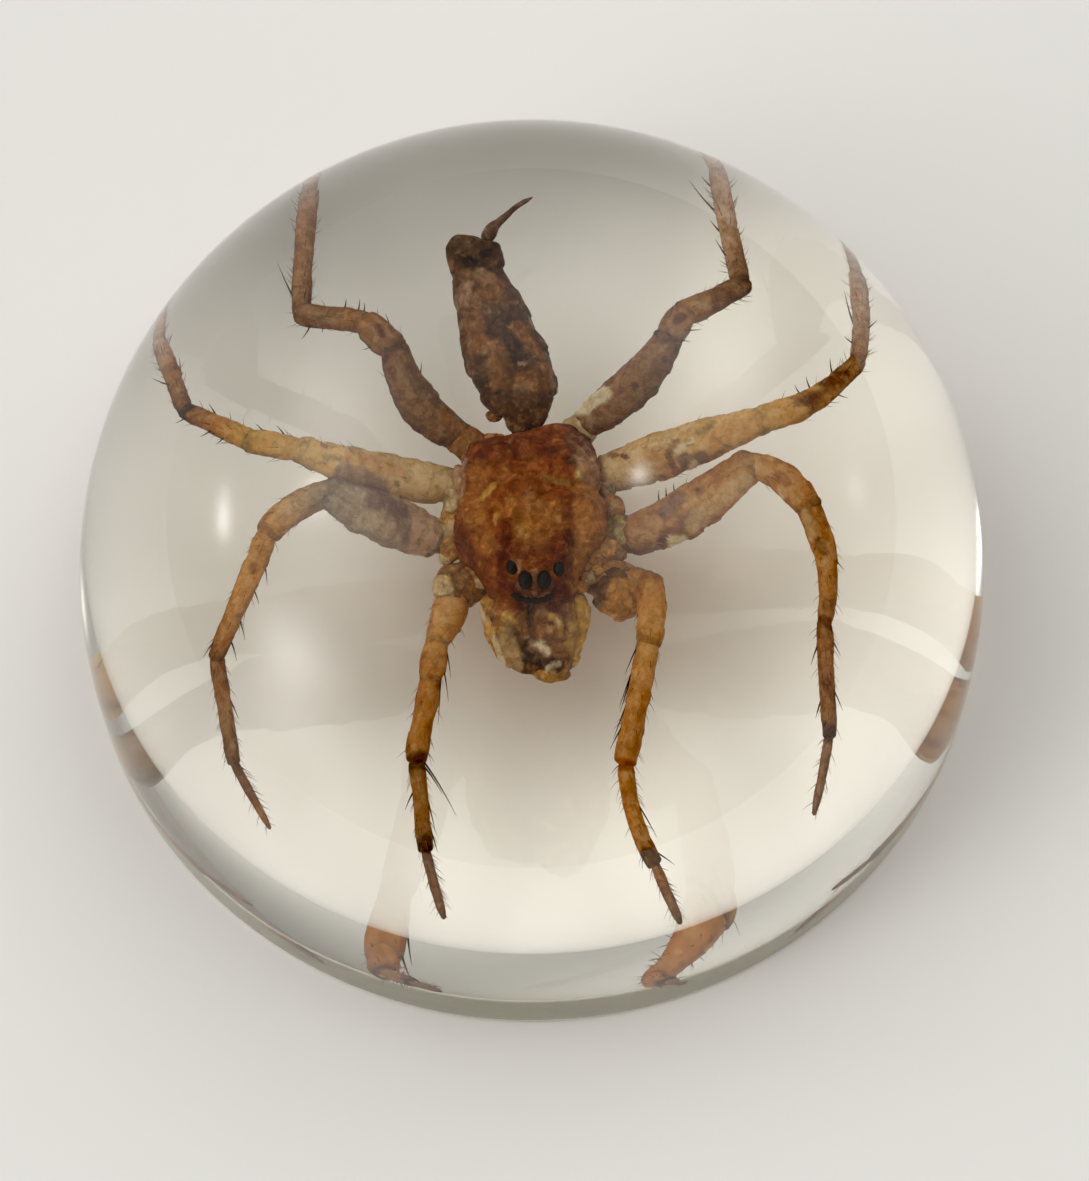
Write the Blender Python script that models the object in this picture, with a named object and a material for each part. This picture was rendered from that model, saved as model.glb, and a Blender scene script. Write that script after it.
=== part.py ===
"""A dried spider cast in a clear resin dome with a flat underside.

Metres, +Z up, the origin at the centre of the underside.  The spider faces -Y.
The dome is one casting; it is parted here in two at the height of the spider's
body, so that the spider can lie in a pocket of its own shape.
"""

import math

import bmesh
import bpy
from mathutils import Vector

MM = 0.001

# ---- driving dimensions of the dome, in millimetres ------------------------
DOME_DIAMETER = 40.0
DOME_HEIGHT = 19.4
LIP_HEIGHT = 0.8            # the upright band round the foot
EDGE_CHAMFER = 0.25         # the broken edge round the underside
DOME_FULLNESS = 2.4         # exponent of the cap's profile: 2 would be an ellipse
DOME_SECTORS = 72
DOME_RINGS = 15

# ---- the pocket ------------------------------------------------------------
PARTING_HEIGHT = 6.6        # where the casting is parted, through the spider
PARTING_GAP = 0.3
POCKET_CLEARANCE = 0.4

# ---- driving dimensions of the spider, in millimetres ----------------------
# Body stations: (x, y, z, half width, half height), one after another along it.
CARAPACE = (
    (-0.10, 2.75, 7.10, 1.20, 0.70),
    (-0.02, 2.40, 7.10, 2.10, 1.10),
    (-0.02, 1.40, 7.10, 2.60, 1.45),
    (-0.04, 0.20, 7.05, 2.62, 1.55),
    (0.00, -0.60, 7.05, 2.85, 1.60),
    (-0.05, -1.50, 7.05, 2.72, 1.60),
    (0.00, -2.40, 7.15, 2.15, 1.55),
    (0.10, -3.20, 7.30, 1.65, 1.40),
    (0.12, -3.85, 7.45, 1.30, 1.00),
)
ABDOMEN = (
    (-0.45, 2.55, 7.10, 0.40, 0.40),
    (-0.46, 2.95, 7.10, 0.50, 0.45),
    (-0.37, 3.35, 7.15, 0.95, 0.80),
    (-0.42, 4.10, 7.20, 1.38, 1.05),
    (-0.65, 5.00, 7.25, 1.60, 1.15),
    (-1.00, 5.90, 7.25, 1.58, 1.12),
    (-1.38, 7.00, 7.25, 1.38, 1.00),
    (-1.75, 8.10, 7.25, 1.20, 0.92),
    (-1.95, 9.00, 7.25, 0.98, 0.85),
    (-2.12, 9.60, 7.25, 1.00, 0.85),
    (-2.18, 10.15, 7.25, 0.92, 0.75),
    (-2.14, 10.42, 7.25, 0.70, 0.50),
)
SPINNERET_THREAD = (
    (-1.70, 10.15, 7.30, 0.32, 0.26),
    (-1.45, 10.65, 7.32, 0.24, 0.20),
    (-1.10, 11.00, 7.37, 0.14, 0.13),
    (-0.55, 11.50, 7.45, 0.10, 0.09),
    (0.05, 11.86, 7.50, 0.06, 0.06),
)
LEFT_JAW = (
    (-0.60, -3.30, 7.20, 0.66, 0.62),
    (-0.72, -4.30, 6.65, 0.74, 0.62),
    (-0.66, -5.05, 5.95, 0.58, 0.46),
    (-0.50, -5.45, 5.55, 0.38, 0.30),
)
RIGHT_JAW = (
    (0.74, -3.30, 7.20, 0.70, 0.62),
    (0.84, -4.35, 6.65, 0.84, 0.64),
    (0.88, -5.20, 5.95, 0.64, 0.52),
    (0.84, -5.78, 5.35, 0.40, 0.34),
)
LEFT_LOBE = (
    (-1.35, -3.20, 6.80, 0.48, 0.30),
    (-1.30, -4.10, 6.45, 0.52, 0.24),
    (-0.98, -4.90, 5.95, 0.42, 0.20),
    (-0.68, -5.42, 5.60, 0.32, 0.16),
)
RIGHT_LOBE = (
    (1.50, -3.20, 6.80, 0.52, 0.32),
    (1.58, -4.10, 6.45, 0.52, 0.28),
    (1.36, -4.95, 5.95, 0.42, 0.24),
    (1.16, -5.55, 5.55, 0.30, 0.18),
)
# The rounded roots of the foremost legs: (x, y, z, radius).
BULBS = (
    (-2.68, -2.95, 6.45, 0.88),
    (3.15, -3.05, 6.42, 1.00),
)
# Eyes: (x, y, z, radius); the two large pairs stand proud of the head.
EYES = (
    (-0.69, -2.86, 8.50, 0.25),
    (1.03, -2.98, 8.50, 0.23),
    (-0.22, -3.36, 8.50, 0.30),
    (0.48, -3.39, 8.50, 0.29),
)
# Room left in the pocket round the jaws and their side lobes.
JAWS_ROOM = (
    (0.10, -3.00, 7.00, 1.95, 0.90),
    (0.14, -4.20, 6.55, 2.00, 0.75),
    (0.15, -5.10, 5.95, 1.60, 0.62),
    (0.20, -5.80, 5.40, 1.10, 0.50),
)

# Legs: joint centres (x, y, z), from the hip to the claw.  The joints are hip,
# trochanter, knee, patella end, tibia end, metatarsus end and claw.
LEGS = {
    "left_1": ((-1.3, -1.9, 6.4), (-2.7, -3.2, 6.5), (-3.4, -5.2, 7.2), (-3.6, -6.4, 7.1),
               (-4.0, -8.6, 5.7), (-3.6, -10.9, 3.9), (-3.0, -12.8, 2.6)),
    "left_2": ((-1.9, -0.8, 6.4), (-3.6, -1.2, 6.6), (-7.4, 0.2, 8.4), (-9.5, -1.1, 8.1),
               (-10.9, -4.6, 5.4), (-10.1, -7.6, 3.7), (-8.8, -9.4, 2.6)),
    "left_3": ((-1.9, 0.7, 6.4), (-3.1, 0.8, 6.7), (-8.4, 1.9, 8.4), (-10.2, 2.4, 8.1),
               (-12.1, 4.2, 6.2), (-12.3, 7.4, 3.7), (-11.9, 9.6, 2.4)),
    "left_4": ((-1.6, 1.6, 6.4), (-2.8, 2.7, 6.7), (-5.1, 5.8, 8.4), (-6.1, 6.9, 8.1),
               (-8.1, 7.6, 6.2), (-7.1, 12.2, 3.4), (-6.6, 14.6, 2.2)),
    "right_1": ((1.3, -1.9, 6.4), (3.3, -2.9, 6.5), (4.3, -2.9, 7.2), (4.2, -5.1, 7.2),
                (3.3, -8.7, 5.7), (4.2, -11.3, 3.7), (5.2, -13.3, 2.6)),
    "right_2": ((1.9, -0.8, 6.4), (3.7, -1.1, 6.6), (8.0, 1.3, 8.4), (10.0, -0.1, 8.1),
                (10.2, -3.7, 5.9), (10.1, -6.8, 4.0), (9.5, -8.9, 2.6)),
    "right_3": ((1.9, 0.7, 6.4), (2.9, 1.2, 6.7), (8.4, 3.0, 8.4), (9.9, 3.8, 8.1),
                (11.4, 6.0, 6.3), (10.6, 9.6, 3.7), (9.9, 11.9, 2.4)),
    "right_4": ((0.9, 1.7, 6.4), (2.1, 3.2, 6.6), (5.1, 6.2, 8.4), (5.6, 7.3, 8.1),
                (7.4, 8.7, 6.1), (5.9, 12.9, 3.4), (4.9, 15.2, 2.3)),
}
# Radii of a leg: coxa, femur, patella, upper tibia, lower tibia, metatarsus, tarsus.
LEG_GIRTH = {
    "left_1": (0.70, 0.62, 0.47, 0.41, 0.42, 0.30, 0.19),
    "left_2": (0.62, 0.88, 0.54, 0.43, 0.30, 0.27, 0.17),
    "left_3": (0.62, 0.80, 0.49, 0.45, 0.29, 0.30, 0.19),
    "left_4": (0.62, 0.73, 0.57, 0.44, 0.46, 0.33, 0.20),
    "right_1": (0.75, 0.52, 0.54, 0.42, 0.42, 0.31, 0.19),
    "right_2": (0.66, 0.88, 0.56, 0.49, 0.27, 0.29, 0.18),
    "right_3": (0.66, 0.86, 0.55, 0.50, 0.31, 0.32, 0.19),
    "right_4": (0.62, 0.80, 0.53, 0.50, 0.42, 0.32, 0.20),
}
# How far the middle of the femur, patella, tibia and metatarsus stands off the
# straight line between their joints, to the left as seen from the hip.
LEG_BEND = {
    "left_1": (0.0, 0.0, 0.0, 0.0),
    "left_2": (0.1, -0.2, 0.0, 0.0),
    "left_3": (0.28, 0.0, 0.0, 0.0),
    "left_4": (0.5, 0.0, 0.0, 0.14),
    "right_1": (0.0, 0.1, 0.0, -0.25),
    "right_2": (-0.3, 0.3, 0.38, 0.0),
    "right_3": (0.0, 0.0, -0.15, -0.15),
    "right_4": (-0.27, 0.0, -0.08, 0.0),
}
# Where each segment's stations lie along it, and the share of its radius there.
SEGMENT_SWELL = (
    ((0.0, 1.00), (0.9, 1.00)),
    ((0.1, 0.86), (0.35, 1.00), (0.65, 0.95), (0.95, 0.68)),
    ((0.4, 1.00), (1.0, 0.95)),
    ((0.5, 0.98), (0.95, 1.00)),
    ((0.06, 1.00), (0.5, 0.98), (0.97, 0.92)),
    ((0.06, 1.00), (0.6, 0.95), (1.0, 0.55)),
)
POCKET_SWELL = (
    ((0.0, 0.80), (0.9, 1.00)),
    ((0.35, 1.00), (0.95, 0.85)),
    ((0.5, 1.00), (1.0, 1.00)),
    ((0.5, 1.00), (1.0, 1.00)),
    ((0.5, 1.00), (1.0, 1.00)),
    ((1.0, 0.80),),
)
LEG_SIDES = 7


def clear_scene():
    for item in list(bpy.data.objects):
        bpy.data.objects.remove(item, do_unlink=True)


def make_material(name, colour, roughness, transmission=0.0, ior=1.5):
    material = bpy.data.materials.new(name)
    material.use_nodes = True
    shader = material.node_tree.nodes["Principled BSDF"]
    shader.inputs["Base Color"].default_value = (*colour, 1.0)
    shader.inputs["Roughness"].default_value = roughness
    shader.inputs["Metallic"].default_value = 0.0
    shader.inputs["Transmission Weight"].default_value = transmission
    shader.inputs["IOR"].default_value = ior
    material.diffuse_color = (*colour, 1.0)
    return material


def make_object(name, bm, material=None, smooth_angle=math.radians(40)):
    """Turn a bmesh, in millimetres, into an object in metres."""
    bmesh.ops.recalc_face_normals(bm, faces=bm.faces)
    bmesh.ops.scale(bm, vec=(MM, MM, MM), verts=bm.verts)
    mesh = bpy.data.meshes.new(name)
    bm.to_mesh(mesh)
    bm.free()
    mesh.shade_smooth()
    mesh.set_sharp_from_angle(angle=smooth_angle)
    if material is not None:
        mesh.materials.append(material)
    item = bpy.data.objects.new(name, mesh)
    bpy.context.scene.collection.objects.link(item)
    return item


def skin_rings(bm, rings, close_ends=True):
    """Join rings of vertices, each of the same count, and close both ends."""
    for low, high in zip(rings, rings[1:]):
        count = len(low)
        for k in range(count):
            bm.faces.new((low[k], low[(k + 1) % count], high[(k + 1) % count], high[k]))
    if close_ends:
        bm.faces.new(rings[0])
        bm.faces.new(rings[-1])


# ---- the dome --------------------------------------------------------------
def dome_radius_at(height):
    """Radius of the casting's outside at a height above the underside."""
    radius = DOME_DIAMETER / 2
    if height <= LIP_HEIGHT:
        return radius
    rise = (height - LIP_HEIGHT) / (DOME_HEIGHT - LIP_HEIGHT)
    return radius * (1 - min(rise, 1.0) ** DOME_FULLNESS) ** (1 / DOME_FULLNESS)


def cap_heights(low, high):
    """Heights of the cap's rings between two heights, close together near the top."""
    span = DOME_HEIGHT - LIP_HEIGHT
    heights = []
    for k in range(DOME_RINGS + 1):
        turn = math.radians(90) * k / DOME_RINGS
        height = LIP_HEIGHT + span * math.sin(turn) ** (2 / DOME_FULLNESS)
        if low + 0.2 < height < high - 0.01:
            heights.append(height)
    return heights


def turned_solid(profile):
    """Turn a profile of (radius, height) about Z into a closed solid."""
    bm = bmesh.new()
    rings = []
    for radius, height in profile:
        turns = [math.tau * k / DOME_SECTORS for k in range(DOME_SECTORS)]
        rings.append([bm.verts.new((radius * math.cos(t), radius * math.sin(t), height)) for t in turns])
    skin_rings(bm, rings)
    return bm


def base_half():
    top = PARTING_HEIGHT - PARTING_GAP / 2
    radius = DOME_DIAMETER / 2
    profile = [(radius - EDGE_CHAMFER, 0.0), (radius, EDGE_CHAMFER), (radius, LIP_HEIGHT)]
    profile += [(dome_radius_at(h), h) for h in cap_heights(LIP_HEIGHT, top)]
    profile.append((dome_radius_at(top), top))
    return turned_solid(profile)


def upper_half():
    low = PARTING_HEIGHT + PARTING_GAP / 2
    profile = [(dome_radius_at(low), low)]
    profile += [(dome_radius_at(h), h) for h in cap_heights(low, DOME_HEIGHT)]
    crown_radius = 0.4
    profile.append((crown_radius, DOME_HEIGHT))
    return turned_solid(profile)


# ---- the spider ------------------------------------------------------------
def loft(stations, sides):
    """A closed body through (x, y, z, half width, half height) stations."""
    bm = bmesh.new()
    centres = [Vector(s[:3]) for s in stations]
    rings = []
    for k, station in enumerate(stations):
        before = centres[max(k - 1, 0)]
        after = centres[min(k + 1, len(centres) - 1)]
        along = (after - before).normalized()
        across = along.cross(Vector((0, 0, 1))).normalized()
        upward = across.cross(along).normalized()
        ring = []
        for j in range(sides):
            turn = math.tau * (j + 0.5) / sides
            offset = across * (station[3] * math.cos(turn)) + upward * (station[4] * math.sin(turn))
            ring.append(bm.verts.new(centres[k] + offset))
        rings.append(ring)
    skin_rings(bm, rings)
    return bm


def swollen(stations, clearance):
    """The same stations, thicker by the clearance and longer by it at both ends."""
    grown = [[*s[:3], s[3] + clearance, s[4] + clearance] for s in stations]
    for end, inner in ((0, 1), (-1, -2)):
        tip = Vector(stations[end][:3])
        outward = (tip - Vector(stations[inner][:3])).normalized()
        grown[end][:3] = tip + outward * clearance
    return grown


def along_segment(start, end, bend, way):
    """A point on a segment that is bent sideways, in plan, by the given distance."""
    straight = end - start
    left = Vector((-straight.y, straight.x, 0)).normalized()
    return start + straight * way + left * (bend * 4 * way * (1 - way))


def leg_stations(name, swells=SEGMENT_SWELL):
    joints = [Vector(j) for j in LEGS[name]]
    coxa, femur, patella, upper_tibia, lower_tibia, metatarsus, tarsus = LEG_GIRTH[name]
    girths = ((coxa, coxa), (femur, femur), (patella, patella), (upper_tibia, lower_tibia),
              (metatarsus, metatarsus), (tarsus, tarsus))
    bends = (0.0, *LEG_BEND[name], 0.0)
    stations = []
    for start, end, girth, bend, swell in zip(joints, joints[1:], girths, bends, swells):
        for way, share in swell:
            centre = along_segment(start, end, bend, way)
            radius = share * (girth[0] + (girth[1] - girth[0]) * way)
            stations.append((*centre, radius, radius))
    return stations


def ball(centre, radius, subdivisions=1):
    bm = bmesh.new()
    bmesh.ops.create_icosphere(bm, subdivisions=subdivisions, radius=radius)
    bmesh.ops.translate(bm, verts=bm.verts, vec=centre)
    return bm


def spider_lofts():
    """What is lofted and fused to the carapace: (name, stations, sides)."""
    lofts = [
        ("abdomen", ABDOMEN, 12),
        ("spinneret_thread", SPINNERET_THREAD, 5),
        ("left_jaw", LEFT_JAW, 8),
        ("right_jaw", RIGHT_JAW, 8),
        ("left_lobe", LEFT_LOBE, 7),
        ("right_lobe", RIGHT_LOBE, 7),
    ]
    lofts += [("leg_" + name, leg_stations(name), LEG_SIDES) for name in LEGS]
    return lofts


def pocket_lofts():
    """The rooms fused to the carapace's room: (name, stations, sides)."""
    lofts = [
        ("abdomen", ABDOMEN[::3] + ABDOMEN[-2:], 8),
        ("spinneret_thread", SPINNERET_THREAD[::2], 5),
        ("jaws", JAWS_ROOM, 8),
    ]
    lofts += [("leg_" + name, leg_stations(name, POCKET_SWELL), 6) for name in LEGS]
    return lofts


def as_guide(item):
    """A body that only adds to or cuts another: it is no piece of its own."""
    item.hide_render = True
    item.display_type = "WIRE"
    return item


def combine(target, guides, operation):
    for guide in guides:
        modifier = target.modifiers.new(guide.name, "BOOLEAN")
        modifier.operation = operation
        modifier.solver = "EXACT"
        modifier.object = guide


def make_spider(material):
    spider = make_object("spider", loft(CARAPACE, 14), material)
    guides = [make_object(f"bulb_{k}_shape", ball(b[:3], b[3], 2)) for k, b in enumerate(BULBS)]
    guides += [make_object(name + "_shape", loft(stations, sides)) for name, stations, sides in spider_lofts()]
    guides += [make_object(f"eye_{k}_shape", ball(e[:3], e[3])) for k, e in enumerate(EYES)]
    combine(spider, [as_guide(guide) for guide in guides], "UNION")
    return spider


def make_pocket():
    """The room that the spider lies in: its own shape, thicker by the clearance."""
    pocket = as_guide(make_object("pocket", loft(swollen(CARAPACE, POCKET_CLEARANCE), 10)))
    guides = []
    for name, stations, sides in pocket_lofts():
        bm = loft(swollen(stations, POCKET_CLEARANCE), sides)
        guides.append(as_guide(make_object(name + "_pocket", bm)))
    for k, (*centre, radius) in enumerate(BULBS):
        room = ball(centre, (radius + POCKET_CLEARANCE) * 1.15)
        guides.append(as_guide(make_object(f"bulb_{k}_pocket", room)))
    combine(pocket, guides, "UNION")
    return pocket


def build():
    clear_scene()
    resin = make_material("clear_resin", (0.96, 0.96, 0.93), 0.02, transmission=1.0, ior=1.54)
    chitin = make_material("dried_chitin", (0.36, 0.17, 0.05), 0.4)
    make_spider(chitin)
    pocket = make_pocket()
    for name, solid in (("resin_dome_base", base_half()), ("resin_dome_upper", upper_half())):
        combine(make_object(name, solid, resin), [pocket], "DIFFERENCE")


build()
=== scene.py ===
"""Looks of a dried spider cast in a clear resin dome.

Everything is worked out in millimetres in the model's own frame: the spider
faces -Y, +Z is up, and the origin is the centre of the dome's underside.
"""
import math

import bmesh
import bpy
import numpy as np
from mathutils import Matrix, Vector


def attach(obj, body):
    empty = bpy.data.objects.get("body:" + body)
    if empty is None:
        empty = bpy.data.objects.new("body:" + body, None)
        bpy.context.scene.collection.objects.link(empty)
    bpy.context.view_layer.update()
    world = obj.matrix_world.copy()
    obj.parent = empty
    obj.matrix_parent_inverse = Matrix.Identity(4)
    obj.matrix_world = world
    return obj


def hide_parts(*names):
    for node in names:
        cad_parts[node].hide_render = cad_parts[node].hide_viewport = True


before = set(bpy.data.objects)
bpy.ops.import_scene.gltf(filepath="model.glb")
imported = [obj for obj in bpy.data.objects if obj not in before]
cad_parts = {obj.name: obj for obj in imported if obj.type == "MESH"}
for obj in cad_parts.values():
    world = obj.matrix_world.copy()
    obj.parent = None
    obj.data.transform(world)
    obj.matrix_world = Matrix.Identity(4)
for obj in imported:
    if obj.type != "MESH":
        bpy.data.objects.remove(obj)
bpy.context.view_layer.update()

MM = 0.001
UP = np.array([0.0, 0.0, 1.0])

# ---- the dome; its sizes are the same values as the solids'
DOME_RADIUS = 20.0
DOME_HEIGHT = 19.4
LIP_HEIGHT = 0.8
EDGE_CHAMFER = 0.25
DOME_FULLNESS = 2.4
RESIN_IOR = 1.55
RESIN_TINT = (0.975, 0.947, 0.769)  # the colour that the resin lets through
RESIN_DENSITY = 16.0  # how strongly the resin takes up the other colours, for each metre
RESIN_SECTORS = 320
RESIN_RINGS = 120
SHARP_ANGLE = 35.0  # from where on an edge of the dome is drawn sharp, in degrees

# ---- the view
VIEW_ELEVATION = 69.8  # degrees above the floor, from the -Y side
VIEW_DISTANCE = 190.0  # from the camera to the dome's foot
VIEW_FOCAL = 140.0
VIEW_FRAME = 36.0  # the width of the camera's frame
AIM_POINT = (0.56, -0.12, 0.0)  # what lies in the middle of the picture
PAPER_SIZE = 1200.0
PAPER_DEPTH = 0.05  # how far the paper lies below the dome's foot

# ---- the light
# Soft windows and walls: (azimuth from +X, elevation, narrowness, strength).
WINDOWS = (
    (71, 18, 20, 0.21), (141, 48, 58, 0.8), (141, 48, 16, 1.17), (186, 52, 60, 0.47),
    (186, 52, 16, 1.32), (226, 86, 19, 0.14), (8, 49, 60, 1.14), (46, 44, 60, 0.6),
    (46, 44, 16, 1.03), (78, 47, 20, 1.05), (20, 69, 50, 1.3), (203, 32, 60, 4.3),
    (213, 18, 49, 2.15), (325, 18, 60, 0.78), (165, 65, 40, 0.39), (300, 72, 30, 0.62),
    (150, 35, 8, 0.16), (106, 0, 11, 0.6), (144, 0, 8, 0.6), (344, 0, 12, 0.41),
    (212, 0, 12, 0.59), (165.5, 22.4, 900, 1.4), (168.5, 22.5, 900, 3.6),
    (171.5, 22.4, 800, 4.0), (168.5, 22.4, 220, 0.7), (16.1, 15.8, 600, 1.6),
    (46.9, 69, 2500, 8.0),
)
WINDOW_TINT = (1.0, 0.985, 0.955)
ROOM_LIGHT = 0.1  # that comes evenly from everywhere
BLACK_LEVEL = 0.02  # light that the picture shows as black

# ---- colours of the dried spider, as seen on a screen
TONES = {
    # The first, near-white tone is no colour of the shell: it is for painted highlights, where light
    # glances off thin films of air.
    "painted_glint": (0.98, 0.92, 0.74), "straw": (0.88, 0.74, 0.51), "sand": (0.66, 0.55, 0.39),
    "pink": (0.81, 0.63, 0.47), "gold": (0.91, 0.7, 0.33), "honey": (0.85, 0.6, 0.29),
    "amber": (0.78, 0.51, 0.23), "olive": (0.58, 0.46, 0.2), "bronze": (0.68, 0.44, 0.21),
    "rust": (0.6, 0.29, 0.09), "wine": (0.37, 0.13, 0.04), "plum": (0.49, 0.35, 0.27),
    "umber": (0.55, 0.36, 0.19), "bark": (0.44, 0.27, 0.125), "ink": (0.24, 0.16, 0.1),
    "black": (0.05, 0.035, 0.03),
}
THINNEST = 0.35  # the least thickness of shell that colours are worked out for
STAIN_RATE = 1.4  # how fast a thicker shell darkens
# Sizes in the pattern of the shell: patches and creases, grain, flakes.
PATCH_SIZE = 0.42
GRAIN_SIZE = 0.1
FLAKE_SIZE = 0.24
# Shells: (share of the light that shines through, roughness, least thickness, most thickness).
LEG_SHELL = (0.42, 0.42, 0.8, 1.04)
BODY_SHELL = (0.34, 0.4, 0.75, 1.25)
HAIR_SHELL = (0.1, 0.5, 0.9, 1.1)
EYE_COLOUR = (0.006, 0.003, 0.002)
PAPER_COLOUR = (0.92, 0.91, 0.89)

# ---- the spider's legs; the joints and bends are the same values as the solids'
# The joints are hip, trochanter, knee, patella end, tibia end, metatarsus end and claw.
LEGS = {
    "left_1": ((-1.3, -1.9, 6.4), (-2.7, -3.2, 6.5), (-3.4, -5.2, 7.2), (-3.6, -6.4, 7.1),
               (-4.0, -8.6, 5.7), (-3.6, -10.9, 3.9), (-3.0, -12.8, 2.6)),
    "left_2": ((-1.9, -0.8, 6.4), (-3.6, -1.2, 6.6), (-7.4, 0.2, 8.4), (-9.5, -1.1, 8.1),
               (-10.9, -4.6, 5.4), (-10.1, -7.6, 3.7), (-8.8, -9.4, 2.6)),
    "left_3": ((-1.9, 0.7, 6.4), (-3.1, 0.8, 6.7), (-8.4, 1.9, 8.4), (-10.2, 2.4, 8.1),
               (-12.1, 4.2, 6.2), (-12.3, 7.4, 3.7), (-11.9, 9.6, 2.4)),
    "left_4": ((-1.6, 1.6, 6.4), (-2.8, 2.7, 6.7), (-5.1, 5.8, 8.4), (-6.1, 6.9, 8.1),
               (-8.1, 7.6, 6.2), (-7.1, 12.2, 3.4), (-6.6, 14.6, 2.2)),
    "right_1": ((1.3, -1.9, 6.4), (3.3, -2.9, 6.5), (4.3, -2.9, 7.2), (4.2, -5.1, 7.2),
                (3.3, -8.7, 5.7), (4.2, -11.3, 3.7), (5.2, -13.3, 2.6)),
    "right_2": ((1.9, -0.8, 6.4), (3.7, -1.1, 6.6), (8.0, 1.3, 8.4), (10.0, -0.1, 8.1),
                (10.2, -3.7, 5.9), (10.1, -6.8, 4.0), (9.5, -8.9, 2.6)),
    "right_3": ((1.9, 0.7, 6.4), (2.9, 1.2, 6.7), (8.4, 3.0, 8.4), (9.9, 3.8, 8.1),
                (11.4, 6.0, 6.3), (10.6, 9.6, 3.7), (9.9, 11.9, 2.4)),
    "right_4": ((0.9, 1.7, 6.4), (2.1, 3.2, 6.6), (5.1, 6.2, 8.4), (5.6, 7.3, 8.1),
                (7.4, 8.7, 6.1), (5.9, 12.9, 3.4), (4.9, 15.2, 2.3)),
}
SEGMENTS = ("coxa", "femur", "patella", "tibia", "metatarsus", "tarsus")
# Radii of a leg: coxa, femur, patella, upper tibia, lower tibia, metatarsus, tarsus.
LEG_GIRTH = {
    "left_1": (0.7, 0.62, 0.47, 0.41, 0.42, 0.3, 0.19),
    "left_2": (0.62, 0.88, 0.54, 0.43, 0.3, 0.27, 0.17),
    "left_3": (0.62, 0.8, 0.49, 0.45, 0.29, 0.3, 0.25),
    "left_4": (0.62, 0.73, 0.57, 0.44, 0.46, 0.33, 0.28),
    "right_1": (0.75, 0.52, 0.54, 0.42, 0.42, 0.31, 0.19),
    "right_2": (0.66, 0.88, 0.56, 0.49, 0.27, 0.29, 0.18),
    "right_3": (0.66, 0.86, 0.55, 0.5, 0.31, 0.32, 0.25),
    "right_4": (0.62, 0.8, 0.53, 0.5, 0.42, 0.32, 0.27),
}
# How far the middle of the femur, patella, tibia and metatarsus stands off the
# straight line between their joints, to the left as seen from the hip.
LEG_BEND = {
    "left_1": (0.0, 0.0, 0.0, 0.0),
    "left_2": (0.1, -0.2, 0.0, 0.0),
    "left_3": (0.28, 0.0, 0.0, 0.0),
    "left_4": (0.5, 0.0, 0.0, 0.14),
    "right_1": (0.0, 0.1, 0.0, -0.25),
    "right_2": (-0.3, 0.3, 0.38, 0.0),
    "right_3": (0.0, 0.0, -0.15, -0.15),
    "right_4": (-0.27, 0.0, -0.08, 0.0),
}
# Colours down a leg: coxa, femur root, femur tip, patella, tibia, tibia end,
# metatarsus, metatarsus end and claw.
LEG_TONES = {
    "left_1": "amber amber honey amber amber bronze bronze umber umber",
    "left_2": "straw pink sand honey honey bronze bronze umber bronze",
    "left_3": "straw straw gold gold amber umber bronze pink pink",
    "left_4": "bronze umber umber bronze umber umber bronze bronze pink",
    "right_1": "bronze bronze amber honey amber amber amber bronze umber",
    "right_2": "amber bronze honey amber amber bronze bronze umber umber",
    "right_3": "bronze straw gold honey bronze bronze pink pink pink",
    "right_4": "straw umber umber bronze umber umber pink pink pink",
}
# Where each segment swells: (way along, share of its radius).
SEGMENT_SWELL = {
    "coxa": ((0.0, 0.9), (0.5, 1.08), (0.85, 1.04), (1.0, 0.92)),
    "femur": ((0.0, 0.78), (0.12, 0.9), (0.35, 1.02), (0.62, 0.96), (0.85, 0.77), (0.95, 0.7),
              (1.0, 0.66)),
    "patella": ((0.0, 0.86), (0.15, 0.96), (0.5, 1.02), (0.85, 0.98), (1.0, 0.88)),
    "tibia": ((0.0, 0.88), (0.08, 0.98), (0.3, 1.02), (0.6, 0.96), (0.88, 1.02), (1.0, 0.92)),
    "metatarsus": ((0.0, 0.8), (0.08, 1.0), (0.4, 0.96), (0.88, 0.96), (1.0, 0.86)),
    "tarsus": ((0.0, 0.82), (0.1, 1.0), (0.5, 0.96), (0.85, 0.8), (1.0, 0.45)),
}
LEG_SIDES = 44
RING_STEP = 0.055  # between the rings of a leg
SEGMENT_OVERLAP = 0.45  # how far a segment's ends reach past its joints, in radii
END_ROUNDING = 0.45  # how far a segment's end is rounded, in radii
LEG_FLATNESS = 0.92  # height of a leg's section for each unit of its width

# ---- the spider's body; all stations but the mouth's are the same values as the solids'
# Body stations: (x, y, z, half width, half height), one after another along it.
CARAPACE = (
    (-0.1, 2.75, 7.1, 1.2, 0.7), (-0.02, 2.4, 7.1, 2.1, 1.1),
    (-0.02, 1.4, 7.1, 2.6, 1.45), (-0.04, 0.2, 7.05, 2.62, 1.55),
    (0.0, -0.6, 7.05, 2.85, 1.6), (-0.05, -1.5, 7.05, 2.72, 1.6),
    (0.0, -2.4, 7.15, 2.15, 1.55), (0.1, -3.2, 7.3, 1.65, 1.4),
    (0.12, -3.85, 7.45, 1.3, 1.0),
)
ABDOMEN = (
    (-0.45, 2.55, 7.1, 0.4, 0.4), (-0.46, 2.95, 7.1, 0.5, 0.45),
    (-0.37, 3.35, 7.15, 0.95, 0.8), (-0.42, 4.1, 7.2, 1.38, 1.05),
    (-0.65, 5.0, 7.25, 1.6, 1.15), (-1.0, 5.9, 7.25, 1.58, 1.12),
    (-1.38, 7.0, 7.25, 1.38, 1.0), (-1.75, 8.1, 7.25, 1.2, 0.92),
    (-1.95, 9.0, 7.25, 0.98, 0.85), (-2.12, 9.6, 7.25, 1.0, 0.85),
    (-2.18, 10.15, 7.25, 0.92, 0.75), (-2.14, 10.42, 7.25, 0.7, 0.5),
)
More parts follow.
